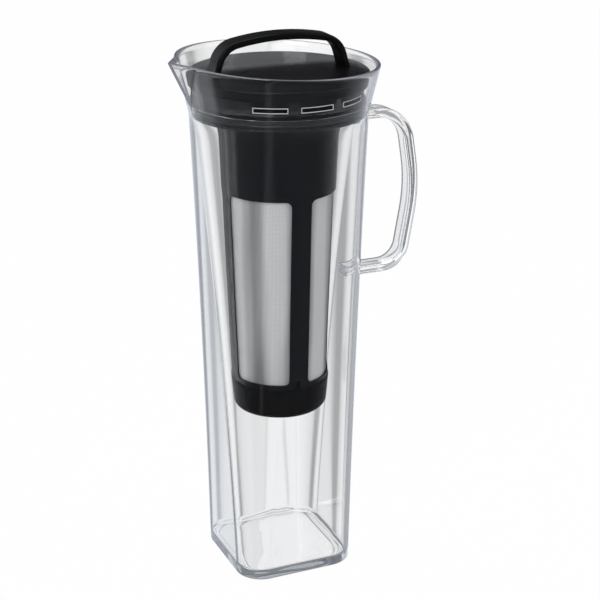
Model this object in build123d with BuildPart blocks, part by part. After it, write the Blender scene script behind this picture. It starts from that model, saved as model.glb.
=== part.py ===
"""Cold brew coffee pitcher: a clear pitcher, square at the base and round at the neck,
with a pouring spout and a side handle, a black plug lid with a lifting loop, and a
mesh brew filter that hangs from the lid.

Millimetres, +Z up. The origin is the centre of the base, where the pitcher stands.
+X points to the side handle, -X to the spout, and -Y is the front.
"""

import math
import os

from build123d import *

# Pitcher body: half width and corner radius of its section at three heights
base_half = 33.1
base_corner = 14.4
waist_height = 110.0
waist_half = 37.4
waist_corner = 25.0
neck_height = 253.0
neck_radius = 46.2
round_flat = 0.05
body_wall = 2.4
floor_thickness = 3.2
foot_fillet = 1.4
inner_floor_fillet = 4.0

# Neck bore, seat ledge and flared mouth
bore_drop = 3.0
bore_radius = 43.8
ledge_rise = 6.2
ledge_radius = 45.4
flare_slope = 0.233
flare_spare = 10.0
rim_above_ledge = 20.8
rim_rise = 0.05
rim_fillet = 0.6

# Spout: its keel leaves the flare at a root on the neck and stands out from it higher up
spout_root_rise = 4.5
spout_overhang = 8.2
spout_root_scale = 0.02
spout_wall = 2.1

# Side handle: centre line of a strap
handle_width = 11.0
handle_depth = 5.4
handle_corner = 1.7
handle_path = [(40, 247), (71, 247), (78, 205), (70.5, 161), (36, 161)]
handle_bends = (19, 90, 13)
pad_width = 15.0
pad_height = 9.6
pad_reach = 3.2
pad_corner = 2.0

# Lid collar: the part that drops into the neck, with heights above (rise) or below (drop)
# the seat ledge
seat_gap = 0.2
skirt_radius = 43.6
skirt_wall = 2.2
skirt_rise = 12.2
flange_radius = 45.15
flange_thickness = 1.2
groove_radius = 41.3
lip_radius = 43.4
lip_drop = 4.1
collar_floor_drop = 6.7
cavity_floor_drop = 4.3

# Pour slots in the collar, measured round the lid from the front
slot_rise = 3.6
slot_height = 2.4
slot_angle = 22.2
slot_pitch = 31.0
slot_centre = 2.6

# Gasket: a band with two sealing ribs
gasket_drop = 4.0
gasket_height = 3.75
gasket_inner = 41.4
gasket_band = 43.1
gasket_rib = 0.6
gasket_rib_margin = 0.85

# Lid cover
cover_radius = 46.7
cover_rise = 14.5
cover_height = 5.1
cover_foot_radius = 45.9
cover_deck = 2.2
cover_gap = 0.05
cover_fillet = 0.7

# Lifting loop: centre line of a strap that stands on the cover
loop_width = 12.0
loop_thickness = 3.4
loop_corner = 1.2
loop_foot_reach = 36.7
loop_foot_depth = 2.7
loop_shoulder_reach = 31.5
loop_shoulder_rise = 14.5
loop_peak_rise = 20.6
loop_shoulder_bend = 12.5
loop_crown_share = 0.755

# Filter spigot and its O-ring
spigot_radius = 29.1
spigot_bore = 26.2
spigot_groove_height = 1.7
spigot_nose = 2.8
o_ring_drop = 2.9
o_ring_section = 0.75
o_ring_clearance = 0.08

# Brew filter frame
filter_gap = 0.2
filter_top_radius = 31.4
filter_taper = 0.0345
filter_wall = 1.8
sleeve_length = 39.3
window_sill = 2.6
window_corner = 3.0
rib_width = 10.8
window_angles = (45, 135, 225, 315)
mesh_names = ("back_right", "back_left", "front_left", "front_right")
mesh_lap = 1.3
mesh_rebate = 0.5
mesh_thickness = 0.4
mesh_gap = 0.04

# Filter base cap and the frame ring it is pushed over
filter_length = 161.9
cap_height = 17.4
cap_radius = 26.9
cap_taper = 0.1
cap_wall = 1.7
cap_gap = 0.2
cap_floor = 1.8
cap_fillet = 4.5
cap_inner_fillet = 2.7
ring_clearance = 0.15
ring_wall = 2.2
ring_end_gap = 1.1
ring_groove_height = 1.5
base_ring_share = 0.52
base_ring_section = 0.6
base_ring_clearance = 0.07


# Heights that follow from the sizes above
bore_bottom = neck_height - bore_drop
ledge_height = neck_height + ledge_rise
rim_height = ledge_height + rim_above_ledge
spout_root_height = neck_height + spout_root_rise
skirt_top = ledge_height + skirt_rise
lip_top = ledge_height - lip_drop
collar_floor_bottom = ledge_height - collar_floor_drop
cavity_floor = ledge_height - cavity_floor_drop
slot_bottom = ledge_height + slot_rise
gasket_bottom = ledge_height - gasket_drop
gasket_top = gasket_bottom + gasket_height
cover_top = ledge_height + cover_rise
cover_foot = cover_top - cover_height
filter_top = collar_floor_bottom - filter_gap
o_ring_height = filter_top - o_ring_drop
spigot_bottom = o_ring_height - spigot_nose
cap_bottom = filter_top - filter_length
flare_top = rim_height + flare_spare
window_top = filter_top - sleeve_length
cap_top = cap_bottom + cap_height
ring_top = cap_top + cap_gap
ring_bottom = cap_bottom + cap_floor + ring_end_gap
window_bottom = ring_top + window_sill
base_ring_height = ring_bottom + base_ring_share * (ring_top - ring_bottom)


def flare_radius(height):
    """Outer radius of the flared mouth."""
    return neck_radius + flare_slope * (height - neck_height)


def sleeve_radius(height):
    """Outer radius of the filter frame."""
    return filter_top_radius - filter_taper * (filter_top - height)


def cap_inner_radius(height):
    """Inner radius of the filter's base cap."""
    return cap_radius - cap_wall - cap_taper * (cap_top - height)


def keel_reach(height):
    """Outer reach of the spout's keel."""
    share = (height - spout_root_height) / (flare_top - spout_root_height)
    return flare_radius(height) + spout_overhang * share


o_ring_radius = (
    sleeve_radius(o_ring_height) - filter_wall - o_ring_clearance - o_ring_section
)
spigot_groove = o_ring_radius - o_ring_section - o_ring_clearance
base_ring_radius = (
    cap_inner_radius(base_ring_height) - base_ring_clearance - base_ring_section
)
ring_groove = base_ring_radius - base_ring_section - base_ring_clearance


def make_outer_form():
    """The pitcher's outside without the spout, up to above the rim."""
    sections = [
        (0, base_half, base_corner),
        (waist_height, waist_half, waist_corner),
        (neck_height, neck_radius, neck_radius - round_flat),
    ]
    with BuildPart() as form:
        for height, half_width, corner_radius in sections:
            with BuildSketch(Plane.XY.offset(height)):
                RectangleRounded(2 * half_width, 2 * half_width, corner_radius)
        loft()
        for height in (neck_height, flare_top):
            radius = flare_radius(height)
            with BuildSketch(Plane.XY.offset(height)):
                RectangleRounded(2 * radius, 2 * radius, radius - round_flat)
        loft(ruled=True)
    return form.part


def make_inner_form():
    """The space inside the pitcher: reservoir, neck bore and flared mouth."""
    share = floor_thickness / waist_height
    floor_half = base_half + (waist_half - base_half) * share - body_wall
    floor_corner = base_corner + (waist_corner - base_corner) * share - body_wall
    sections = [
        (floor_thickness, floor_half, floor_corner),
        (waist_height, waist_half - body_wall, waist_corner - body_wall),
        (bore_bottom, bore_radius, bore_radius - round_flat),
    ]
    with BuildPart() as form:
        for height, half_width, corner_radius in sections:
            with BuildSketch(Plane.XY.offset(height)):
                RectangleRounded(2 * half_width, 2 * half_width, corner_radius)
        loft()
        fillet(form.faces().sort_by(Axis.Z)[0].edges(), inner_floor_fillet)
        with BuildSketch(Plane.XY.offset(bore_bottom)):
            RectangleRounded(2 * bore_radius, 2 * bore_radius, bore_radius - round_flat)
        extrude(amount=ledge_height - bore_bottom)
        for height in (ledge_height, flare_top):
            with BuildSketch(Plane.XY.offset(height)):
                Circle(ledge_radius + flare_slope * (height - ledge_height))
        loft(ruled=True)
    return form.part


def make_spout_form(inset):
    """A pyramid with a kite section whose keel runs from the neck past the tip."""
    tip = keel_reach(flare_top)
    radius = flare_radius(flare_top)
    tangent = math.acos(radius / tip)
    keel_inset = inset / math.cos(tangent)
    root_height = spout_root_height + inset
    root = keel_reach(root_height) - keel_inset
    outline = [
        (-tip, 0),
        (-radius * math.cos(tangent), radius * math.sin(tangent)),
        (-radius / 2, 0),
        (-radius * math.cos(tangent), -radius * math.sin(tangent)),
    ]
    small = [
        (-root + (x + tip) * spout_root_scale, y * spout_root_scale) for x, y in outline
    ]
    large = [(x + keel_inset, y) for x, y in outline]
    with BuildPart() as kite:
        with BuildSketch(Plane.XY.offset(root_height)):
            Polygon(*small, align=None)
        with BuildSketch(Plane.XY.offset(flare_top)):
            Polygon(*large, align=None)
        loft(ruled=True)
    return kite.part


def make_pitcher_body():
    """One clear shell: square base, round neck with a seat ledge, mouth and spout."""
    rim_plane = Plane(origin=(0, 0, rim_height), z_dir=(rim_rise, 0, 1))
    with BuildPart() as pitcher_body:
        add(make_outer_form())
        fillet(pitcher_body.faces().sort_by(Axis.Z)[0].edges(), foot_fillet)
        add(make_spout_form(0))
        add(make_inner_form(), mode=Mode.SUBTRACT)
        add(make_spout_form(spout_wall), mode=Mode.SUBTRACT)
        split(bisect_by=rim_plane, keep=Keep.BOTTOM)
    pitcher_body.part.label = "pitcher_body"
    return pitcher_body.part


def make_pitcher_handle():
    """A clear strap bonded to the body's side at the neck and at mid height."""
    upper = handle_path[0][1]
    lower = handle_path[-1][1]
    with BuildPart() as pitcher_handle:
        with BuildLine(Plane.XZ) as path:
            FilletPolyline(*handle_path, radius=handle_bends)
        with BuildSketch(Plane(path.line @ 0, x_dir=(0, 1, 0), z_dir=path.line % 0)):
            RectangleRounded(handle_width, handle_depth, handle_corner)
        sweep(path=path.line)
        for height in (upper, lower):
            wall = pad_wall(height)
            for reach, width, depth, corner in (
                (wall - 6, pad_width, pad_height, pad_corner),
                (wall + pad_reach, handle_width, handle_depth, handle_corner),
            ):
                with BuildSketch(Plane.YZ.offset(reach)):
                    with Locations((0, height)):
                        RectangleRounded(width, depth, corner)
            loft(ruled=True)
        add(make_outer_form(), mode=Mode.SUBTRACT)
    pitcher_handle.part.label = "pitcher_handle"
    return pitcher_handle.part


def pad_wall(height):
    """Rough half width of the body where a handle pad lands."""
    share = (height - waist_height) / (neck_height - waist_height)
    return waist_half + (neck_radius - waist_half) * share


def make_lid_collar():
    """The glossy plug: slotted skirt, seat flange, gasket groove, floor and spigot."""
    flange_bottom = ledge_height + seat_gap
    profile = [
        (spigot_bore, spigot_bottom),
        (spigot_radius - 0.5, spigot_bottom),
        (spigot_radius, spigot_bottom + 0.5),
        (spigot_radius, o_ring_height - spigot_groove_height / 2),
        (spigot_groove, o_ring_height - spigot_groove_height / 2),
        (spigot_groove, o_ring_height + spigot_groove_height / 2),
        (spigot_radius, o_ring_height + spigot_groove_height / 2),
        (spigot_radius, collar_floor_bottom),
        (lip_radius - 0.7, collar_floor_bottom),
        (lip_radius, collar_floor_bottom + 0.7),
        (lip_radius, lip_top),
        (groove_radius, lip_top),
        (groove_radius, flange_bottom),
        (flange_radius, flange_bottom),
        (flange_radius, flange_bottom + flange_thickness - 0.4),
        (flange_radius - 0.4, flange_bottom + flange_thickness),
        (skirt_radius, flange_bottom + flange_thickness),
        (skirt_radius, skirt_top),
        (skirt_radius - skirt_wall, skirt_top),
        (skirt_radius - skirt_wall, flange_bottom + flange_thickness),
        (groove_radius - skirt_wall, flange_bottom),
        (groove_radius - skirt_wall, cavity_floor),
        (spigot_bore, cavity_floor),
    ]
    slot_middle = slot_bottom + slot_height / 2
    with BuildPart() as lid_collar:
        with BuildSketch(Plane.XZ):
            Polygon(*profile, align=None)
        revolve(axis=Axis.Z)
        for step in (-1, 0, 1):
            start = slot_centre + step * slot_pitch - slot_angle / 2 - 90
            turn = math.radians(start)
            slot_plane = Plane(
                (0, 0, 0),
                x_dir=(math.cos(turn), math.sin(turn), 0),
                z_dir=(math.sin(turn), -math.cos(turn), 0),
            )
            with BuildSketch(slot_plane):
                with Locations((skirt_radius - skirt_wall / 2, slot_middle)):
                    Rectangle(skirt_wall + 2, slot_height)
            revolve(axis=Axis.Z, revolution_arc=slot_angle, mode=Mode.SUBTRACT)
    lid_collar.part.label = "lid_collar"
    return lid_collar.part


def make_lid_gasket():
    """The sealing ring between the collar and the neck bore."""
    rib_heights = (gasket_bottom + gasket_rib_margin, gasket_top - gasket_rib_margin)
    middle = (gasket_bottom + gasket_top) / 2
    with BuildPart() as lid_gasket:
        with BuildSketch(Plane.XZ):
            with Locations(((gasket_inner + gasket_band) / 2, middle)):
                Rectangle(gasket_band - gasket_inner, gasket_top - gasket_bottom)
            with Locations(*[(gasket_band, height) for height in rib_heights]):
                Circle(gasket_rib)
        revolve(axis=Axis.Z)
    lid_gasket.part.label = "lid_gasket"
    return lid_gasket.part


def make_loop_form():
    """The lifting loop with both feet running down through the cover."""
    foot_z = cover_top - loop_foot_depth
    shoulder_z = cover_top + loop_shoulder_rise
    peak_z = cover_top + loop_peak_rise
    crown_slope = (peak_z - shoulder_z) / loop_shoulder_reach
    crown_length = math.hypot(loop_shoulder_reach, peak_z - shoulder_z)
    crown_bend = loop_crown_share * crown_length / crown_slope
    points = [
        (-loop_foot_reach, foot_z),
        (-loop_shoulder_reach, shoulder_z),
        (0, peak_z),
        (loop_shoulder_reach, shoulder_z),
        (loop_foot_reach, foot_z),
    ]
    with BuildPart() as loop:
        with BuildLine(Plane.XZ) as path:
            FilletPolyline(*points, radius=(loop_shoulder_bend, crown_bend, loop_shoulder_bend))
        with BuildSketch(Plane(path.line @ 0, x_dir=(0, 1, 0), z_dir=path.line % 0)):
            RectangleRounded(loop_width, loop_thickness, loop_corner)
        sweep(path=path.line)
    return loop.part


def make_lid_loop():
    """The strap for lifting the lid."""
    with BuildPart() as lid_loop:
        add(make_loop_form())
    lid_loop.part.label = "lid_loop"
    return lid_loop.part


def make_lid_cover():
    """The flat matte disc that caps the collar, slotted for the loop's feet."""
    deck_bottom = cover_top - cover_deck
    profile = [
        (0, deck_bottom),
        (skirt_radius + cover_gap, deck_bottom),
        (skirt_radius + cover_gap, cover_foot),
        (cover_foot_radius, cover_foot),
        (cover_radius, cover_top),
        (0, cover_top),
    ]
    with BuildPart() as lid_cover:
        with BuildSketch(Plane.XZ):
            Polygon(*profile, align=None)
        revolve(axis=Axis.Z)
        top_rim = lid_cover.faces().sort_by(Axis.Z)[-1].edges()
        fillet(top_rim, cover_fillet)
        add(make_loop_form(), mode=Mode.SUBTRACT)
    lid_cover.part.label = "lid_cover"
    return lid_cover.part


def make_ring(name, height, radius, section):
    """A round rubber ring about the pitcher's axis."""
    with BuildPart() as ring:
        with BuildSketch(Plane.XZ):
            with Locations((radius, height)):
                Circle(section)
        revolve(axis=Axis.Z)
    ring.part.label = name
    return ring.part


def window_plane(angle):
    """A plane facing outward at an angle round the filter, with its y axis up."""
    turn = math.radians(angle)
    return Plane(
        (0, 0, 0),
        x_dir=(-math.sin(turn), math.cos(turn), 0),
        z_dir=(math.cos(turn), math.sin(turn), 0),
    )


def window_half_width(height):
    """Half the width of a filter window at a height, from the rib width."""
    radius = sleeve_radius(height)
    rib_angle = math.asin(rib_width / 2 / radius)
    return radius * math.sin(math.pi / 4 - rib_angle)


def make_window_form(angle, lap, corner):
    """A tapered bar with rounded corners that cuts a window, grown by lap all round."""
    top = window_top + lap
    bottom = window_bottom - lap
    half_top = window_half_width(window_top) + lap
    half_bottom = window_half_width(window_bottom) + lap
    outline = [
        (-half_bottom, bottom),
        (half_bottom, bottom),
        (half_top, top),
        (-half_top, top),
    ]
    with BuildPart() as form:
        with BuildSketch(window_plane(angle)) as window:
            Polygon(*outline, align=None)
            fillet(window.vertices(), corner)
        extrude(amount=filter_top_radius + 2)
    return form.part


def make_mesh_shell(outer_inset, inner_inset):
    """The band of the filter wall between two depths below its outer face."""
    low = window_bottom - 2 * mesh_lap
    high = window_top + 2 * mesh_lap
    outline = [
        (sleeve_radius(low) - inner_inset, low),
        (sleeve_radius(low) - outer_inset, low),
        (sleeve_radius(high) - outer_inset, high),
        (sleeve_radius(high) - inner_inset, high),
    ]
    with BuildPart() as shell:
        with BuildSketch(Plane.XZ):
            Polygon(*outline, align=None)
        revolve(axis=Axis.Z)
    return shell.part


def make_filter_mesh(name, angle):
    """One curved mesh panel lying in the rebate behind a window."""
    outer_inset = filter_wall - mesh_rebate + mesh_gap
    with BuildPart() as filter_mesh:
        add(make_mesh_shell(outer_inset, outer_inset + mesh_thickness))
        add(make_window_form(angle, mesh_lap - 0.1, window_corner), mode=Mode.INTERSECT)
    filter_mesh.part.label = name
    return filter_mesh.part


def make_filter_frame():
    """The tapered sleeve with four windows and a narrower ring for the base cap."""
    ring_outer_top = cap_inner_radius(ring_top) - ring_clearance
    ring_outer_bottom = cap_inner_radius(ring_bottom) - ring_clearance
    groove_half = ring_groove_height / 2
    groove_low = base_ring_height - groove_half
    groove_high = base_ring_height + groove_half
    sleeve_inner_low = window_bottom - 0.4
    profile = [
        (ring_outer_bottom - ring_wall, ring_bottom),
        (ring_outer_bottom - 0.4, ring_bottom),
        (ring_outer_bottom, ring_bottom + 0.4),
        (cap_inner_radius(groove_low) - ring_clearance, groove_low),
        (ring_groove, groove_low),
        (ring_groove, groove_high),
        (cap_inner_radius(groove_high) - ring_clearance, groove_high),
        (ring_outer_top, ring_top),
        (sleeve_radius(ring_top), ring_top),
        (filter_top_radius, filter_top),
        (filter_top_radius - filter_wall, filter_top),
        (sleeve_radius(sleeve_inner_low) - filter_wall, sleeve_inner_low),
        (ring_outer_top - ring_wall, ring_top - 1.0),
    ]
    outer_inset = filter_wall - mesh_rebate
    with BuildPart() as rebates:
        add(make_mesh_shell(outer_inset, filter_wall + 1))
        with BuildPart(mode=Mode.PRIVATE) as windows:
            for angle in window_angles:
                add(make_window_form(angle, mesh_lap, window_corner))
        add(windows.part, mode=Mode.INTERSECT)
    with BuildPart() as filter_frame:
        with BuildSketch(Plane.XZ):
            Polygon(*profile, align=None)
        revolve(axis=Axis.Z)
        add(rebates.part, mode=Mode.SUBTRACT)
        for angle in window_angles:
            add(make_window_form(angle, 0, window_corner), mode=Mode.SUBTRACT)
    filter_frame.part.label = "filter_frame"
    return filter_frame.part


def make_filter_base_cap():
    """The closed cup pushed over the lower end of the frame."""
    foot_radius = cap_radius - cap_taper * (cap_top - cap_bottom)
    floor_top = cap_bottom + cap_floor
    with BuildPart() as cup:
        with BuildSketch(Plane.XZ):
            Polygon(
                (0, cap_bottom), (foot_radius, cap_bottom), (cap_radius, cap_top),
                (0, cap_top), align=None,
            )
        revolve(axis=Axis.Z)
        fillet(cup.faces().sort_by(Axis.Z)[0].edges(), cap_fillet)
    with BuildPart() as hollow:
        with BuildSketch(Plane.XZ):
            Polygon(
                (0, floor_top), (cap_inner_radius(floor_top), floor_top),
                (cap_inner_radius(cap_top + 1), cap_top + 1), (0, cap_top + 1), align=None,
            )
        revolve(axis=Axis.Z)
        fillet(hollow.faces().sort_by(Axis.Z)[0].edges(), cap_inner_fillet)
    with BuildPart() as filter_base_cap:
        add(cup.part)
        add(hollow.part, mode=Mode.SUBTRACT)
    filter_base_cap.part.label = "filter_base_cap"
    return filter_base_cap.part


def main():
    """Write one STEP file for each piece."""
    pieces = [
        make_pitcher_body(),
        make_pitcher_handle(),
        make_lid_cover(),
        make_lid_collar(),
        make_lid_loop(),
        make_lid_gasket(),
        make_ring("filter_o_ring", o_ring_height, o_ring_radius, o_ring_section),
        make_filter_frame(),
        make_filter_base_cap(),
        make_ring("base_o_ring", base_ring_height, base_ring_radius, base_ring_section),
    ]
    for name, angle in zip(mesh_names, window_angles):
        pieces.append(make_filter_mesh(f"filter_mesh_{name}", angle))
    os.makedirs("parts", exist_ok=True)
    for piece in pieces:
        box = piece.bounding_box()
        low = [round(value, 2) for value in box.min]
        high = [round(value, 2) for value in box.max]
        print(piece.label, piece.is_valid, len(piece.solids()), round(piece.volume), low, high)
        export_step(piece, f"parts/{piece.label}.step")


if __name__ == "__main__":
    main()
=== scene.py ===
import math

import bmesh
import bpy
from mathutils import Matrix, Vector


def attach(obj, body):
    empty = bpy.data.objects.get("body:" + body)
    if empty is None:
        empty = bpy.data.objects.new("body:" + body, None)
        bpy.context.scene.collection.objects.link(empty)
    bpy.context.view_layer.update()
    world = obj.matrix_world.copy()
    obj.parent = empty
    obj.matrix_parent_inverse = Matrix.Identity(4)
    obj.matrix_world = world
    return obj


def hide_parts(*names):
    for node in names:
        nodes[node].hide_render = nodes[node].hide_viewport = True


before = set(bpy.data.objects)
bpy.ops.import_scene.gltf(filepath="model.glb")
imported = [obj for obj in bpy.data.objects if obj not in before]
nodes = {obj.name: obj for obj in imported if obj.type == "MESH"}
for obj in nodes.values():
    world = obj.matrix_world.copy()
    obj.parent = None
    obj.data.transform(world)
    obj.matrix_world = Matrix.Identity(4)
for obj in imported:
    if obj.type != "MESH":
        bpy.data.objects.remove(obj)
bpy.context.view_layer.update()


def newMaterial(name, settings):
    # one Principled material; plain values go on the shader's own sockets
    mat = bpy.data.materials.new(name)
    mat.use_nodes = True
    shader = mat.node_tree.nodes["Principled BSDF"]
    for socket, value in settings.items():
        shader.inputs[socket].default_value = value
    return mat, mat.node_tree, shader


def addNode(tree, kind, **values):
    node = tree.nodes.new(kind)
    for key, value in values.items():
        setattr(node, key, value)
    return node


def mapRange(tree, source, fromLow=0.0, fromHigh=1.0, toLow=0.0, toHigh=1.0):
    node = addNode(tree, "ShaderNodeMapRange")
    limits = {"From Min": fromLow, "From Max": fromHigh, "To Min": toLow, "To Max": toHigh}
    for socket, value in limits.items():
        node.inputs[socket].default_value = value
    tree.links.new(source, node.inputs["Value"])
    return node.outputs["Result"]


def mixShaders(tree, share, first, second):
    mix = addNode(tree, "ShaderNodeMixShader")
    for index, source in enumerate((share, first, second)):
        tree.links.new(source, mix.inputs[index])
    return mix.outputs[0]


def linkObject(name, mesh):
    obj = bpy.data.objects.new(name, mesh)
    bpy.context.scene.collection.objects.link(obj)
    return obj


def groupSockets(group, inputs, outputs):
    for name, value in inputs:
        socket = group.interface.new_socket(name, in_out="INPUT", socket_type="NodeSocketFloat")
        socket.default_value = value
    for name in outputs:
        group.interface.new_socket(name, in_out="OUTPUT", socket_type="NodeSocketFloat")
    return group.nodes.new("NodeGroupInput"), group.nodes.new("NodeGroupOutput")


# fine moulded grain and faint handling marks, shared by the black plastics, the rubber and the slot
# rims
grainForm = {"grainDetail": 2.0, "markDetail": 5.0, "middle": 0.5}


def makeGrainGroup():
    group = bpy.data.node_groups.new("mouldedGrain", "ShaderNodeTree")
    ins, outs = groupSockets(
        group,
        [("Grain Scale", 2500.0), ("Mark Scale", 60.0), ("Roughness", 0.4), ("Variation", 0.1)],
        ["Height", "Roughness"],
    )
    link = group.links.new
    coords = addNode(group, "ShaderNodeTexCoord")
    grain = addNode(group, "ShaderNodeTexNoise")
    grain.inputs["Detail"].default_value = grainForm["grainDetail"]
    marks = addNode(group, "ShaderNodeTexNoise")
    marks.inputs["Detail"].default_value = grainForm["markDetail"]
    link(coords.outputs["Object"], grain.inputs["Vector"])
    link(coords.outputs["Object"], marks.inputs["Vector"])
    link(ins.outputs["Grain Scale"], grain.inputs["Scale"])
    link(ins.outputs["Mark Scale"], marks.inputs["Scale"])
    link(grain.outputs["Fac"], outs.inputs["Height"])
    centred = addNode(group, "ShaderNodeMath", operation="SUBTRACT")
    centred.inputs[1].default_value = grainForm["middle"]
    link(marks.outputs["Fac"], centred.inputs[0])
    scaled = addNode(group, "ShaderNodeMath", operation="MULTIPLY_ADD")
    link(centred.outputs[0], scaled.inputs[0])
    link(ins.outputs["Variation"], scaled.inputs[1])
    link(ins.outputs["Roughness"], scaled.inputs[2])
    link(scaled.outputs[0], outs.inputs["Roughness"])
    return group


# woven wire: two sets of threads, round the filter and up it, and upright streaks of painted
# reflection
weaveForm = {"maskLow": -0.6, "maskHigh": 0.5}


def makeWeaveGroup():
    group = bpy.data.node_groups.new("wovenWire", "ShaderNodeTree")
    ins, outs = groupSockets(group, [
        ("Pitch", 0.0006), ("Radius", 0.028), ("Reflection Streak Count", 10.0), ("Reflection Streak Phase", 0.0),
    ], ["Thread", "Height", "Reflection Streak"])
    link = group.links.new
    coords = addNode(group, "ShaderNodeTexCoord")
    parts = addNode(group, "ShaderNodeSeparateXYZ")
    link(coords.outputs["Object"], parts.inputs[0])
    turn = addNode(group, "ShaderNodeMath", operation="ARCTAN2")
    link(parts.outputs["Y"], turn.inputs[0])
    link(parts.outputs["X"], turn.inputs[1])
    along = addNode(group, "ShaderNodeMath", operation="MULTIPLY")
    link(turn.outputs[0], along.inputs[0])
    link(ins.outputs["Radius"], along.inputs[1])
    waves = []
    for source in (along.outputs[0], parts.outputs["Z"]):
        steps = addNode(group, "ShaderNodeMath", operation="DIVIDE")
        link(source, steps.inputs[0])
        link(ins.outputs["Pitch"], steps.inputs[1])
        full = addNode(group, "ShaderNodeMath", operation="MULTIPLY")
        full.inputs[1].default_value = 2 * math.pi
        link(steps.outputs[0], full.inputs[0])
        wave = addNode(group, "ShaderNodeMath", operation="COSINE")
        link(full.outputs[0], wave.inputs[0])
        waves.append(wave)
    thread = addNode(group, "ShaderNodeMath", operation="MAXIMUM")
    link(waves[0].outputs[0], thread.inputs[0])
    link(waves[1].outputs[0], thread.inputs[1])
    link(thread.outputs[0], outs.inputs["Height"])
    # painted reflection: even upright streaks, a set count round the filter at a set phase
    phase = addNode(group, "ShaderNodeMath", operation="MULTIPLY_ADD")
    link(turn.outputs[0], phase.inputs[0])
    link(ins.outputs["Reflection Streak Count"], phase.inputs[1])
    link(ins.outputs["Reflection Streak Phase"], phase.inputs[2])
    streak = addNode(group, "ShaderNodeMath", operation="COSINE")
    link(phase.outputs[0], streak.inputs[0])
    link(streak.outputs[0], outs.inputs["Reflection Streak"])
    mask = mapRange(group, thread.outputs[0], weaveForm["maskLow"], weaveForm["maskHigh"])
    link(mask, outs.inputs["Thread"])
    return group


grainGroup = makeGrainGroup()
weaveGroup = makeWeaveGroup()


def addGrain(tree, shader, grain):
    # roughness and bump from the shared grain group
    group = addNode(tree, "ShaderNodeGroup", node_tree=grainGroup)
    for socket in ("Grain Scale", "Mark Scale", "Roughness", "Variation"):
        group.inputs[socket].default_value = grain[socket]
    bump = addNode(tree, "ShaderNodeBump")
    bump.inputs["Strength"].default_value = grain["Strength"]
    bump.inputs["Distance"].default_value = grain["Distance"]
    tree.links.new(group.outputs["Height"], bump.inputs["Height"])
    tree.links.new(bump.outputs["Normal"], shader.inputs["Normal"])
    tree.links.new(group.outputs["Roughness"], shader.inputs["Roughness"])


clearPlastic = {
    "surface": {
        "Base Color": (1.0, 1.0, 1.0, 1), "Metallic": 0.0, "Roughness": 0.0, "IOR": 1.49,
        "Transmission Weight": 1.0,
    },
    "absorb": (0.50, 0.55, 0.60, 1),
    "tiredLight": (0.32, 0.33, 0.355, 1),
    "tiredDepth": 9.5,
    "shadowTint": (0.86, 0.87, 0.88, 1),
    "shellDensity": 9.0,
    "handleDensity": 3.0,
}


def makeClearMaterial(name, density):
    mat, tree, shader = newMaterial(name, clearPlastic["surface"])
    output = tree.nodes["Material Output"]
    link = tree.links.new
    absorb = addNode(tree, "ShaderNodeVolumeAbsorption")
    absorb.inputs["Color"].default_value = clearPlastic["absorb"]
    absorb.inputs["Density"].default_value = density
    link(absorb.outputs[0], output.inputs["Volume"])
    path = addNode(tree, "ShaderNodeLightPath")
    # painted light: rays caught inside the edges past this depth end in an even grey glow
    late = addNode(tree, "ShaderNodeMath", operation="GREATER_THAN")
    late.inputs[1].default_value = clearPlastic["tiredDepth"]
    link(path.outputs["Ray Depth"], late.inputs[0])
    glow = addNode(tree, "ShaderNodeEmission")
    glow.inputs["Color"].default_value = clearPlastic["tiredLight"]
    inside = mixShaders(tree, late.outputs[0], shader.outputs[0], glow.outputs[0])
    # lamps reach the filter through the wall without caustics
    through = addNode(tree, "ShaderNodeBsdfTransparent")
    through.inputs["Color"].default_value = clearPlastic["shadowTint"]
    surface = mixShaders(tree, path.outputs["Is Shadow Ray"], inside, through.outputs[0])
    link(surface, output.inputs["Surface"])
    return mat


def makePlastic(name, settings):
    mat, tree, shader = newMaterial(name, settings["surface"])
    addGrain(tree, shader, settings["grain"])
    return mat


matteBlack = {
    "surface": {"Base Color": (0.008, 0.008, 0.0085, 1), "IOR": 1.45, "Specular IOR Level": 0.15},
    "grain": {"Grain Scale": 3000.0, "Mark Scale": 45.0, "Roughness": 0.22, "Variation": 0.05,
              "Strength": 0.2, "Distance": 0.00005},
}
glossBlack = {
    "surface": {"Base Color": (0.003, 0.0036, 0.006, 1), "IOR": 1.5, "Specular IOR Level": 0.34},
    "grain": {"Grain Scale": 900.0, "Mark Scale": 60.0, "Roughness": 0.07, "Variation": 0.04,
              "Strength": 0.01, "Distance": 0.00001},
}
satinBlack = {
    "surface": {"Base Color": (0.003, 0.003, 0.0035, 1), "IOR": 1.5, "Specular IOR Level": 0.05},
    "grain": {"Grain Scale": 2200.0, "Mark Scale": 60.0, "Roughness": 0.22, "Variation": 0.06,
              "Strength": 0.15, "Distance": 0.00005},
}
sealRubber = {
    "surface": {"Base Color": (0.012, 0.012, 0.013, 1), "IOR": 1.48},
    "grain": {"Grain Scale": 2600.0, "Mark Scale": 80.0, "Roughness": 0.35, "Variation": 0.1,
              "Strength": 0.1, "Distance": 0.00005},
}
# painted highlight: light grey for the glint on the slot edges of the black lid
slotGlintPaint = {
    "surface": {"Base Color": (0.8, 0.81, 0.83, 1), "IOR": 1.5},
    "grain": {"Grain Scale": 1500.0, "Mark Scale": 90.0, "Roughness": 0.3, "Variation": 0.1,
              "Strength": 0.02, "Distance": 0.00002},
}
wireMesh = {
    "surface": {"Base Color": (0.67, 0.67, 0.68, 1), "Metallic": 0.1, "Roughness": 0.5},
    "weave": {"Pitch": 0.0007, "Radius": 0.028, "Reflection Streak Count": 7.0, "Reflection Streak Phase": 1.06},
    # the streak numbers set the stretch, share and tone range of the painted reflection
    "reflectionStreakScale": (75.0, 75.0, 5.0),
    "reflectionStreakShare": 0.3,
    "reflectionStreakLow": 0.36,
    "reflectionStreakHigh": 1.14,
    "noiseLow": 0.28,
    "noiseHigh": 0.72,
    "holeAlpha": 0.55,
    "threadAlpha": 1.0,
    "Strength": 0.4,
    "Distance": 0.00012,
}


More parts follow.
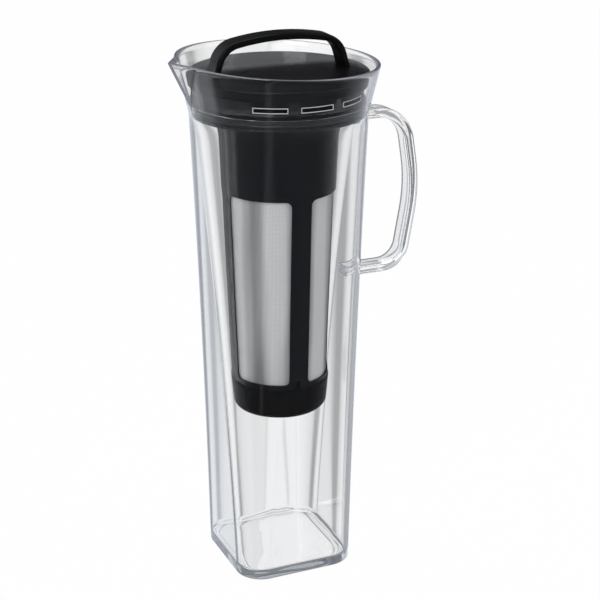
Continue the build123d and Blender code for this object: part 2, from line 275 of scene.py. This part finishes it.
def makeMeshMaterial():
    mat, tree, shader = newMaterial("wireMesh", wireMesh["surface"])
    link = tree.links.new
    weave = addNode(tree, "ShaderNodeGroup", node_tree=weaveGroup)
    for socket, value in wireMesh["weave"].items():
        weave.inputs[socket].default_value = value
    alpha = mapRange(
        tree, weave.outputs["Thread"], toLow=wireMesh["holeAlpha"], toHigh=wireMesh["threadAlpha"])
    link(alpha, shader.inputs["Alpha"])
    # painted reflection: soft upright streaks on the fabric, even ones and irregular ones, for the
    # clear wall in front mirroring the studio
    coords = addNode(tree, "ShaderNodeTexCoord")
    stretch = addNode(tree, "ShaderNodeMapping")
    stretch.inputs["Scale"].default_value = wireMesh["reflectionStreakScale"]
    noise = addNode(tree, "ShaderNodeTexNoise")
    noise.inputs["Scale"].default_value = 1.0
    link(coords.outputs["Object"], stretch.inputs["Vector"])
    link(stretch.outputs[0], noise.inputs["Vector"])
    both = addNode(tree, "ShaderNodeMath", operation="MULTIPLY_ADD")
    both.inputs[1].default_value = wireMesh["reflectionStreakShare"]
    link(weave.outputs["Reflection Streak"], both.inputs[0])
    link(noise.outputs[0], both.inputs[2])
    level = mapRange(
        tree, both.outputs[0], wireMesh["noiseLow"], wireMesh["noiseHigh"],
        wireMesh["reflectionStreakLow"], wireMesh["reflectionStreakHigh"])
    reflectionTone = addNode(tree, "ShaderNodeVectorMath", operation="SCALE")
    reflectionTone.inputs[0].default_value = wireMesh["surface"]["Base Color"][:3]
    link(level, reflectionTone.inputs["Scale"])
    link(reflectionTone.outputs[0], shader.inputs["Base Color"])
    bump = addNode(tree, "ShaderNodeBump")
    bump.inputs["Strength"].default_value = wireMesh["Strength"]
    bump.inputs["Distance"].default_value = wireMesh["Distance"]
    link(weave.outputs["Height"], bump.inputs["Height"])
    link(bump.outputs["Normal"], shader.inputs["Normal"])
    return mat


clear = makeClearMaterial("clearPlastic", clearPlastic["shellDensity"])
clearHandle = makeClearMaterial("clearHandlePlastic", clearPlastic["handleDensity"])
matte = makePlastic("matteBlack", matteBlack)
gloss = makePlastic("glossBlack", glossBlack)
satin = makePlastic("satinBlack", satinBlack)
seal = makePlastic("sealRubber", sealRubber)
slotGlint = makePlastic("slotGlint", slotGlintPaint)
wire = makeMeshMaterial()
print("materials made:", len(bpy.data.materials))

# the clear shell is made afresh with even rings, so that it bends light smoothly
shellForm = {
    "columns": 384,
    "spoutColumns": 40,
    "roundSteps": 6,
    "ringStart": 0.005,
    "ringStep": 0.007,
    "ringCount": 36,
    "innerTop": 0.2445,
    "innerCount": 35,
    "sharpAngle": 32.0,
    "sections": ((0.0, 0.0331, 0.0144), (0.11, 0.0374, 0.025), (0.253, 0.0462, 0.04615)),
    "wall": 0.0024,
    "floor": 0.0032,
    "footRound": 0.0014,
    "innerRoundWide": 0.0055,
    "innerRoundTall": 0.003,
    "neckHeight": 0.253,
    "neckRadius": 0.0462,
    "neckGap": 0.001,
    "neckTuck": 0.0006,
    "blendHeight": 0.11,
    "flareSlope": 0.233,
    "flareTop": 0.290,
    "boreBottom": 0.250,
    "boreRadius": 0.0438,
    "boreRings": (0.2592, 0.256, 0.253, 0.250),
    "ledgeHeight": 0.2592,
    "ledgeRadius": 0.0454,
    "rimHeight": 0.280,
    "rimSlope": -0.05,
    "levelRounds": 4,
    "outerShares": (0.03, 0.1, 0.18, 0.26, 0.34, 0.42, 0.5, 0.6, 0.7, 0.8, 0.9, 1.0),
    "innerShares": (1.0, 0.9, 0.8, 0.7, 0.6, 0.5, 0.4, 0.3, 0.2, 0.1, 0.03, 0.0),
    "spoutRoot": 0.2575,
    "spoutOverhang": 0.0082,
    "spoutWall": 0.0021,
    "leastShare": 0.002,
    "leastTurn": 1.5,
    "searchSteps": 40,
    "rimRound": ((0.0, 0.0006), (0.06, 0.0003), (0.16, 0.00008), (0.32, 0.0), (0.68, 0.0),
                 (0.84, 0.00008), (0.94, 0.0003), (1.0, 0.0006)),
}


def sectionAt(height):
    # half width and corner radius of the outside, on a smooth curve through three heights
    (z0, h0, c0), (z1, h1, c1), (z2, h2, c2) = shellForm["sections"]
    weights = (
        (height - z1) * (height - z2) / ((z0 - z1) * (z0 - z2)),
        (height - z0) * (height - z2) / ((z1 - z0) * (z1 - z2)),
        (height - z0) * (height - z1) / ((z2 - z0) * (z2 - z1)),
    )
    half = weights[0] * h0 + weights[1] * h1 + weights[2] * h2
    corner = weights[0] * c0 + weights[1] * c1 + weights[2] * c2
    return half, corner


def squareReach(angle, half, corner):
    # distance from the axis to a rounded square's edge, at an angle
    across, along = abs(math.cos(angle)), abs(math.sin(angle))
    big, small = max(across, along), min(across, along)
    core = half - corner
    flat = half / big
    if flat * small <= core:
        return flat
    return core * (big + small) + math.sqrt(max(corner ** 2 - (core * (big - small)) ** 2, 0))


def flareReach(height, inside):
    # radius of the flared mouth at a height
    start = "ledge" if inside else "neck"
    rise = height - shellForm[start + "Height"]
    return shellForm[start + "Radius"] + shellForm["flareSlope"] * rise


def spoutEdge(height, inside):
    # tip reach and shoulder point of the spout's V at a height, or None below its root
    top = shellForm["flareTop"]
    topReach = flareReach(top, False)
    tip = topReach + shellForm["spoutOverhang"]
    tangent = math.acos(topReach / tip)
    inset = shellForm["spoutWall"] / math.cos(tangent) if inside else 0.0
    root = shellForm["spoutRoot"] + (shellForm["spoutWall"] if inside else 0.0)
    share = (height - root) / (top - root)
    if share <= shellForm["leastShare"]:
        return None
    rootShare = (root - shellForm["spoutRoot"]) / (top - shellForm["spoutRoot"])
    rootReach = flareReach(root, False) + shellForm["spoutOverhang"] * rootShare - inset
    shoulderX = topReach * math.cos(tangent) - inset
    shoulderY = topReach * math.sin(tangent)
    return (
        rootReach * (1 - share) + (tip - inset) * share,
        rootReach * (1 - share) + shoulderX * share,
        shoulderY * share,
    )


def spoutReach(turn, edge):
    tip, shoulderX, shoulderY = edge
    return tip * shoulderY / (shoulderY * math.cos(turn) + (tip - shoulderX) * math.sin(turn))


def spoutTurn(height, edge, inside):
    # half angle that the spout takes of the ring at a height
    least = math.radians(shellForm["leastTurn"])
    if edge is None:
        return least
    low, high = 0.0, math.atan2(edge[2], edge[1])
    radius = flareReach(height, inside)
    for step in range(shellForm["searchSteps"]):
        middle = (low + high) / 2
        if spoutReach(middle, edge) > radius:
            low = middle
        else:
            high = middle
    return max(low, least)


def ringPoint(column, height, inside, reach, tilt=0.0):
    # a point of a ring; columns start at the spout's tip and crowd onto the V
    count, spoutCount = shellForm["columns"], shellForm["spoutColumns"]
    side = 1 if column <= count // 2 else -1
    place = column if side == 1 else count - column
    x = 0.0
    for step in range(shellForm["levelRounds"] if tilt else 1):
        level = height + tilt * shellForm["rimSlope"] * x
        edge = spoutEdge(level, inside) if reach is None else None
        half = spoutTurn(level, edge, inside)
        if place <= spoutCount:
            turn = half * place / spoutCount
        else:
            turn = half + (math.pi - half) * (place - spoutCount) / (count / 2 - spoutCount)
        angle = math.pi - side * turn
        if reach is None:
            distance = flareReach(level, inside)
            if edge is not None and place <= spoutCount:
                distance = max(distance, spoutReach(turn, edge))
        else:
            distance = reach(angle)
        x = distance * math.cos(angle)
    return Vector((x, distance * math.sin(angle), level))


def shellStations():
    # every ring from under the foot, up the outside, over the rim and down the inside
    form = shellForm
    stations = []

    def squareRing(height, inset):
        half, corner = sectionAt(height)
        half, corner = half - inset, corner - inset
        stations.append(lambda column: ringPoint(
            column, height, False, lambda angle: squareReach(angle, half, corner)))

    roundTurns = [
        math.radians(90 * step / form["roundSteps"]) for step in range(form["roundSteps"] + 1)]
    for turn in reversed(roundTurns):
        squareRing(
            form["footRound"] * (1 - math.sin(turn)), form["footRound"] * (1 - math.cos(turn)))
    for step in range(form["ringCount"]):
        height = form["ringStart"] + form["ringStep"] * step
        if height < form["neckHeight"] - form["neckGap"]:
            squareRing(height, 0.0)
    squareRing(form["neckHeight"] - form["neckTuck"], 0.0)

    def flareRing(low, share, inside):
        # share runs from a level low to just under the tilted rim
        margin = form["rimRound"][0][1]
        height = low + (form["rimHeight"] - margin - low) * share
        stations.append(lambda column: ringPoint(column, height, inside, None, tilt=share))

    for share in form["outerShares"]:
        flareRing(form["neckHeight"], share, False)
    for across, drop in form["rimRound"][1:-1]:
        def rimPoint(column, across=across, drop=drop):
            outer = ringPoint(column, form["rimHeight"] - drop, False, None, tilt=1.0)
            inner = ringPoint(column, form["rimHeight"] - drop, True, None, tilt=1.0)
            return outer.lerp(inner, across)
        stations.append(rimPoint)
    for share in form["innerShares"]:
        flareRing(form["ledgeHeight"], share, True)

    bore = form["boreRadius"]
    for height in form["boreRings"]:
        stations.append(lambda column, height=height: ringPoint(
            column, height, True, lambda angle: bore))

    def innerRing(height, inset=0.0):
        # the wall's inside, which ends in the bore
        share = (height - form["blendHeight"]) / (form["boreBottom"] - form["blendHeight"])
        half, corner = sectionAt(height)
        wall = form["wall"]
        if share > 0:
            topHalf, topCorner = sectionAt(form["boreBottom"])
            half -= (topHalf - bore - wall) * share ** 2
            corner -= (topCorner - bore - wall) * share ** 2
        half, corner = half - wall - inset, corner - wall - inset
        stations.append(lambda column: ringPoint(
            column, height, True, lambda angle: squareReach(angle, half, corner)))

    for step in range(form["innerCount"]):
        innerRing(form["innerTop"] - form["ringStep"] * step)
    for turn in roundTurns:
        innerRing(
            form["floor"] + form["innerRoundTall"] * (1 - math.sin(turn)),
            form["innerRoundWide"] * (1 - math.cos(turn)))
    return stations


def growRings(name, columns, stations, places):
    # extrudes an edge ring from station to station and closes both ends
    mesh = bpy.data.meshes.new(name)
    bm = bmesh.new()
    order = bm.verts.layers.int.new("order")
    ring = bmesh.ops.create_circle(bm, segments=columns, radius=1.0)["verts"]
    for index, vert in enumerate(ring):
        vert[order] = index
        vert.co = places(0, index)
    edges = list(bm.edges)
    firstRing = list(edges)
    for step in range(1, stations):
        grown = bmesh.ops.extrude_edge_only(bm, edges=edges)["geom"]
        for item in grown:
            if isinstance(item, bmesh.types.BMVert):
                item.co = places(step, item[order])
        edges = [
            item for item in grown
            if isinstance(item, bmesh.types.BMEdge) and len(item.link_faces) == 1
        ]
    for ends in (firstRing, edges):
        bmesh.ops.contextual_create(bm, geom=ends)
    bmesh.ops.recalc_face_normals(bm, faces=bm.faces)
    bm.to_mesh(mesh)
    bm.free()
    mesh.shade_smooth()
    mesh.set_sharp_from_angle(angle=math.radians(shellForm["sharpAngle"]))
    return linkObject(name, mesh)


def makeShell():
    stations = shellStations()
    return growRings(
        "clearShell", shellForm["columns"], len(stations),
        lambda step, column: stations[step](column),
    )


# side handle: a rounded strap swept along straight runs and bends
handleForm = {
    "points": ((0.040, 0.247), (0.071, 0.247), (0.078, 0.205), (0.0705, 0.161), (0.036, 0.161)),
    "bends": (0.019, 0.090, 0.013),
    "width": 0.011,
    "depth": 0.0054,
    "corner": 0.0017,
    "rootLength": 0.0032,
    "rootShares": (0.0, 0.35, 0.7, 1.0),
    "rootGap": 0.00002,
    "turnStep": 3.0,
    "leastSteps": 6,
    "faceRounds": 6,
    "columns": 48,
}


def bentPath(points, bends):
    # points along a line whose corners are rounded
    path = [Vector(points[0])]
    for index, bend in enumerate(bends):
        before, corner, after = (Vector(points[index + step]) for step in range(3))
        inward, outward = (corner - before).normalized(), (after - corner).normalized()
        turn = inward.angle(outward)
        trim = bend * math.tan(turn / 2)
        start, end = corner - inward * trim, corner + outward * trim
        centre = corner + (outward - inward).normalized() * (bend / math.cos(turn / 2))
        steps = max(int(math.degrees(turn) / handleForm["turnStep"]), handleForm["leastSteps"])
        for step in range(steps + 1):
            share = step / steps
            early = math.sin((1 - share) * turn) / math.sin(turn)
            late = math.sin(share * turn) / math.sin(turn)
            path.append(centre + (start - centre) * early + (end - centre) * late)
    path.append(Vector(points[-1]))
    return path


def strapSection(column, columns, width, depth, corner):
    # a point of a rounded rectangle, with a quarter of the columns at each corner
    quarter = columns // 4
    side, step = divmod(column, quarter)
    turn = math.radians(90) * (side + step / (quarter - 1))
    signs = ((1, 1), (-1, 1), (-1, -1), (1, -1))[side]
    centre = ((width / 2 - corner) * signs[0], (depth / 2 - corner) * signs[1])
    return centre[0] + corner * math.cos(turn), centre[1] + corner * math.sin(turn)


def bodyFace(y, z):
    # how far out the shell's side is at a place, on the handle's side
    half, corner = sectionAt(z)
    reach = half
    for step in range(handleForm["faceRounds"]):
        angle = math.atan2(y, reach)
        reach = squareReach(angle, half, corner) * math.cos(angle)
    return reach


def makeHandle():
    form = handleForm
    path = bentPath(form["points"], form["bends"])

    def root(height):
        wall = bodyFace(0, height)
        return [Vector((wall + form["rootLength"] * share, height)) for share in form["rootShares"]]

    stations = root(path[0][1]) + path[1:-1] + root(path[-1][1])[::-1]
    last = len(stations) - 1

    def place(step, column):
        point = stations[step]
        ahead = stations[min(step + 1, last)] - stations[max(step - 1, 0)]
        ahead.normalize()
        side = Vector((-ahead[1], ahead[0]))
        across, up = strapSection(
            column, form["columns"], form["width"], form["depth"], form["corner"])
        x, z = point[0] + side[0] * up, point[1] + side[1] * up
        if step in (0, last):
            x = bodyFace(across, z) + form["rootGap"]
        return Vector((x, across, z))

    return growRings("clearHandle", form["columns"], len(stations), place)


# thin rims round the pour slots, light grey as a painted highlight where the real edges catch the
# light
slotForm = {
    "radius": 0.04362,
    "low": 0.2628,
    "high": 0.2652,
    "angle": 22.2,
    "pitch": 31.0,
    "centre": 2.6,
    "line": 0.00032,
    "stand": 0.00022,
    "columns": 26,
    "rows": 3,
}


def makeSlotRims():
    form = slotForm
    mesh = bpy.data.meshes.new("slotGlintRims")
    bm = bmesh.new()
    radius, line, columns, rows = (form[key] for key in ("radius", "line", "columns", "rows"))
    middle, tall = (form["low"] + form["high"]) / 2, form["high"] - form["low"]
    wide = radius * math.radians(form["angle"])
    ups = (-(tall + line) / 2, -(tall - line) / 2, (tall - line) / 2, (tall + line) / 2)
    for step in (-1, 0, 1):
        verts = bmesh.ops.create_grid(bm, x_segments=columns, y_segments=rows, size=0.5)["verts"]
        faces = {face for vert in verts for face in vert.link_faces}
        inner = [
            face for face in faces
            if abs(face.calc_center_median().x) < 0.5 - 1 / columns
            and abs(face.calc_center_median().y) < 0.5 - 1 / rows
        ]
        for vert in verts:
            column, row = round((vert.co.x + 0.5) * columns), round((vert.co.y + 0.5) * rows)
            if column in (0, columns):
                along = (wide + line) * (column / columns - 0.5)
            else:
                along = (wide - line) * ((column - 1) / (columns - 2) - 0.5)
            turn = math.radians(form["centre"] + step * form["pitch"] - 90) + along / radius
            vert.co = Vector((radius * math.cos(turn), radius * math.sin(turn), middle + ups[row]))
        bmesh.ops.delete(bm, geom=inner, context="FACES")
    bmesh.ops.recalc_face_normals(bm, faces=bm.faces)
    bmesh.ops.solidify(bm, geom=list(bm.faces), thickness=-form["stand"])
    bmesh.ops.recalc_face_normals(bm, faces=bm.faces)
    bm.to_mesh(mesh)
    bm.free()
    return linkObject("slotGlintRims", mesh)


smoothForm = {"mergeDistance": 0.000004, "sharpAngle": 24.0}


def smoothCopy(name):
    # a merged copy of a CAD piece with soft shading, which stands for it
    source = nodes[name]
    mesh = source.data.copy()
    mesh.name = name + "Smooth"
    bm = bmesh.new()
    bm.from_mesh(mesh)
    bmesh.ops.remove_doubles(bm, verts=bm.verts, dist=smoothForm["mergeDistance"])
    bm.to_mesh(mesh)
    bm.free()
    mesh.shade_smooth()
    mesh.set_sharp_from_angle(angle=math.radians(smoothForm["sharpAngle"]))
    return linkObject(name + "Smooth", mesh)


bodyOf = {
    "lid_cover": "lid", "lid_loop": "lid", "lid_collar": "lid", "lid_gasket": "lid_seal",
    "filter_frame": "filter", "filter_base_cap": "base_cap",
}
finishes = {
    "lid_cover": matte, "lid_loop": matte, "lid_collar": gloss, "lid_gasket": seal,
    "filter_frame": gloss, "filter_base_cap": satin,
    "filter_o_ring": seal, "base_o_ring": seal,
}
for name, obj in nodes.items():
    obj.data.materials.clear()
    obj.data.materials.append(finishes.get(name, clear if name.startswith("pitcher") else wire))
for name, body in bodyOf.items():
    obj = smoothCopy(name)
    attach(obj, body)
    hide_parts(name)
shell = makeShell()
shell.data.materials.append(clear)
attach(shell, "pitcher")
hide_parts("pitcher_body")
handle = makeHandle()
handle.data.materials.append(clearHandle)
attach(handle, "pitcher")
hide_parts("pitcher_handle")
slotGlintRims = makeSlotRims()
slotGlintRims.data.materials.append(slotGlint)
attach(slotGlintRims, "lid")
print("pieces made:", len(shell.data.polygons), "faces in the shell")

# studio: white world, pale floor, soft lamps and the cloths that gloss and glass see
studio = {
    "worldLevel": 0.35,
    "floorSize": 6.0,
    "floorDrop": 0.0004,
    "floorShadow": 0.015,
    "floorCloth": {"Base Color": (0.9, 0.9, 0.9, 1), "Roughness": 0.9},
    "domeSegments": (48, 24),
    "tentSize": 3.0,
    "tentRise": (-0.15, 0.1),
    "tentFade": (-0.68, -0.5),
    "flatsSize": 2.8,
    "flatsRise": (-0.3, 0.35),
    "ceiling": (0.82, 0.84, 0.88, 1),
    "ceilingShare": 0.65,
    "pit": (0.07, 0.073, 0.08, 1),
    "flatsTint": (0.945, 0.97, 1.0),
    "flatsStops": [
        (0.0, 0.2), (0.13, 0.13), (0.150, 0.55), (0.168, 0.15), (0.43, 0.16), (0.50, 0.4),
        (0.60, 0.4), (0.65, 0.16), (0.70, 0.12), (0.76, 0.15), (0.80, 0.5), (0.83, 0.6),
        (0.845, 1.4), (0.865, 1.3), (0.885, 0.8), (0.91, 1.3), (0.93, 1.3), (0.95, 0.3), (1.0, 0.2),
    ],
    "streakCount": 30.0,
    "streakTurn": 0.417,
    "streakTint": (0.98, 0.985, 0.99),
    "streakStops": [
        (0.0, 1.03), (0.025, 0.98), (0.040, 0.84), (0.06, 0.91), (0.10, 0.89), (0.16, 0.9),
        (0.22, 0.95), (0.36, 0.9), (0.45, 0.78), (0.52, 0.4), (0.60, 0.42), (0.68, 0.85),
        (0.80, 0.98), (0.89, 1.03), (0.911, 0.98), (0.93, 1.04), (1.0, 1.03),
    ],
    "tentTint": (0.88, 0.94, 1.06),
    "tentStops": [
        (0.0, 0.02), (0.12, 0.02), (0.16, 0.06), (0.19, 0.06), (0.22, 0.02), (0.55, 0.02),
        (0.62, 0.04), (0.69, 0.05), (0.76, 0.2), (0.81, 0.7), (0.845, 0.65), (0.875, 0.2),
        (0.93, 0.1), (1.0, 0.02),
    ],
    "tentLowStops": [
        (0.0, 0.02), (0.40, 0.02), (0.52, 0.5), (0.58, 0.95), (0.80, 0.95), (0.85, 0.5),
        (0.92, 0.3), (1.0, 0.02),
    ],
    "lamps": [
        ("keyLamp", (-0.9, -0.9, 1.1), 0.7, 6.0),
        ("fillLamp", (1.0, -0.6, 0.9), 0.9, 3.0),
        ("topLamp", (0.0, 0.3, 1.4), 0.8, 4.0),
    ],
    "target": (0, 0, 0.16),
    "bounces": 16,
}


def whiteForLooks(tree, share=1.0):
    # one for the camera and for what shows in gloss and glass, none for lighting
    path = addNode(tree, "ShaderNodeLightPath")
    seen = path.outputs["Is Camera Ray"]
    for ray in ("Is Glossy Ray", "Is Transmission Ray"):
        either = addNode(tree, "ShaderNodeMath", operation="MAXIMUM")
        tree.links.new(seen, either.inputs[0])
        tree.links.new(path.outputs[ray], either.inputs[1])
        seen = either.outputs[0]
    part = addNode(tree, "ShaderNodeMath", operation="MULTIPLY")
    part.inputs[1].default_value = share
    tree.links.new(seen, part.inputs[0])
    return part.outputs[0]


def makeWorld():
    # a dim white world that lights, and pure white where it is seen
    world = bpy.data.worlds.new("studioWorld")
    bpy.context.scene.world = world
    world.use_nodes = True
    tree = world.node_tree
    dim = tree.nodes["Background"]
    white = addNode(tree, "ShaderNodeBackground")
    for light, level in ((dim, studio["worldLevel"]), (white, 1.0)):
        light.inputs["Color"].default_value = (1, 1, 1, 1)
        light.inputs["Strength"].default_value = level
    surface = mixShaders(tree, whiteForLooks(tree), dim.outputs[0], white.outputs[0])
    tree.links.new(surface, tree.nodes["World Output"].inputs["Surface"])


def makeFloor():
    # keeps a faint shadow of the object and is white otherwise
    mesh = bpy.data.meshes.new("floor")
    bm = bmesh.new()
    bmesh.ops.create_grid(bm, x_segments=1, y_segments=1, size=studio["floorSize"] / 2)
    bmesh.ops.translate(bm, vec=(0, 0, -studio["floorDrop"]), verts=bm.verts)
    bm.to_mesh(mesh)
    bm.free()
    floor = linkObject("floor", mesh)
    mat, tree, shader = newMaterial("floorWhite", studio["floorCloth"])
    glow = addNode(tree, "ShaderNodeEmission")
    part = whiteForLooks(tree, 1 - studio["floorShadow"])
    surface = mixShaders(tree, part, shader.outputs[0], glow.outputs[0])
    tree.links.new(surface, tree.nodes["Material Output"].inputs["Surface"])
    mesh.materials.append(mat)
    floor.visible_glossy = False
    floor.visible_transmission = False


def makeDome(name, size):
    # a cloth all round, lit by itself; gives its height and its share of a full turn
    mesh = bpy.data.meshes.new(name)
    bm = bmesh.new()
    columns, rows = studio["domeSegments"]
    bmesh.ops.create_uvsphere(bm, u_segments=columns, v_segments=rows, radius=size)
    bmesh.ops.reverse_faces(bm, faces=bm.faces)
    bm.to_mesh(mesh)
    bm.free()
    dome = linkObject(name, mesh)
    mat, tree, shader = newMaterial(name + "Cloth", {"Roughness": 1.0})
    link = tree.links.new
    coords = addNode(tree, "ShaderNodeTexCoord")
    parts = addNode(tree, "ShaderNodeSeparateXYZ")
    turn = addNode(tree, "ShaderNodeMath", operation="ARCTAN2")
    glow = addNode(tree, "ShaderNodeEmission")
    link(coords.outputs["Object"], parts.inputs[0])
    link(parts.outputs["Y"], turn.inputs[0])
    link(parts.outputs["X"], turn.inputs[1])
    link(glow.outputs[0], tree.nodes["Material Output"].inputs["Surface"])
    mesh.materials.append(mat)
    dome.visible_camera = False
    dome.visible_diffuse = False
    dome.visible_shadow = False
    share = mapRange(tree, turn.outputs[0], -math.pi, math.pi)
    return dome, tree, parts.outputs["Z"], share, glow.inputs["Color"]


def levelRamp(tree, source, stops, tint):
    ramp = addNode(tree, "ShaderNodeValToRGB")
    while len(ramp.color_ramp.elements) < len(stops):
        ramp.color_ramp.elements.new(0.5)
    for element, (position, level) in zip(ramp.color_ramp.elements, stops):
        element.position = position
        element.color = (level * tint[0], level * tint[1], level * tint[2], 1)
    tree.links.new(source, ramp.inputs[0])
    return ramp.outputs[0]


def colourMix(tree, share, first, second):
    # a plain mix of two colours, each given as a socket or as a value
    mix = addNode(tree, "ShaderNodeMix", data_type="RGBA")
    colours = [socket for socket in mix.inputs if socket.type == "RGBA"]
    tree.links.new(share, mix.inputs[0])
    for socket, source in zip(colours, (first, second)):
        if isinstance(source, tuple):
            socket.default_value = source
        else:
            tree.links.new(source, socket)
    return [socket for socket in mix.outputs if socket.type == "RGBA"][0]


def makeTent():
    # a dark tent with soft strips, which only gloss sees; it goes dark far under the floor
    size = studio["tentSize"]
    tent, tree, height, share, glow = makeDome("studioTent", size)
    high = levelRamp(tree, share, studio["tentStops"], studio["tentTint"])
    low = levelRamp(tree, share, studio["tentLowStops"], studio["tentTint"])
    rise = mapRange(tree, height, *(size * level for level in studio["tentRise"]))
    fade = mapRange(tree, height, *(size * level for level in studio["tentFade"]))
    strips = colourMix(tree, rise, low, high)
    tree.links.new(colourMix(tree, fade, studio["pit"], strips), glow)
    tent.visible_transmission = False


def makeFlats():
    # what the clear plastic bends into view: bright with faint streaks straight through it,
    # and darker flats with a few strips where something mirrors on the way
    size = studio["flatsSize"]
    flats, tree, height, share, glow = makeDome("studioFlats", size)
    link = tree.links.new
    dark = levelRamp(tree, share, studio["flatsStops"], studio["flatsTint"])
    rise = mapRange(
        tree, height, *(size * level for level in studio["flatsRise"]),
        toHigh=studio["ceilingShare"])
    mirrored = colourMix(tree, rise, dark, studio["ceiling"])
    count = addNode(tree, "ShaderNodeMath", operation="MULTIPLY_ADD")
    count.inputs[1].default_value = studio["streakCount"]
    count.inputs[2].default_value = studio["streakTurn"]
    part = addNode(tree, "ShaderNodeMath", operation="FRACT")
    link(share, count.inputs[0])
    link(count.outputs[0], part.inputs[0])
    streak = levelRamp(tree, part.outputs[0], studio["streakStops"], studio["streakTint"])
    # half a bounce: any mirror bounce at all counts
    path = addNode(tree, "ShaderNodeLightPath")
    mirrors = addNode(tree, "ShaderNodeMath", operation="GREATER_THAN")
    mirrors.inputs[1].default_value = 0.5
    link(path.outputs["Glossy Depth"], mirrors.inputs[0])
    link(colourMix(tree, mirrors.outputs[0], streak, mirrored), glow)
    flats.visible_glossy = False


def aimAt(obj, direction):
    obj.rotation_mode = "QUATERNION"
    obj.rotation_quaternion = direction.to_track_quat("-Z", "Y")
    bpy.context.scene.collection.objects.link(obj)


def makeLamps():
    for name, place, size, power in studio["lamps"]:
        data = bpy.data.lights.new(name, "AREA")
        data.size = size
        data.energy = power
        lamp = bpy.data.objects.new(name, data)
        lamp.location = place
        aimAt(lamp, Vector(studio["target"]) - Vector(place))


cameraSetup = {
    "place": (-0.3165, -0.7445, 0.4595),
    "turn": 23.03,
    "tilt": 21.0,
    "lens": 97.17,
    "shiftX": 0.0355,
    "clipStart": 0.01,
}


def makeCamera():
    data = bpy.data.cameras.new("camera")
    data.lens = cameraSetup["lens"]
    data.shift_x = cameraSetup["shiftX"]
    data.clip_start = cameraSetup["clipStart"]
    cam = bpy.data.objects.new("camera", data)
    turn = math.radians(cameraSetup["turn"])
    tilt = math.radians(cameraSetup["tilt"])
    cam.location = cameraSetup["place"]
    aimAt(cam, Vector((
        math.sin(turn) * math.cos(tilt), math.cos(turn) * math.cos(tilt), -math.sin(tilt))))
    bpy.context.scene.camera = cam


makeWorld()
makeFloor()
makeTent()
makeFlats()
makeLamps()
makeCamera()
scene = bpy.context.scene
scene.view_settings.view_transform = "Standard"
# light runs a long way inside the clear edges
scene.cycles.max_bounces = studio["bounces"]
scene.cycles.glossy_bounces = studio["bounces"]
scene.cycles.transmission_bounces = studio["bounces"]
print("studio and camera set")
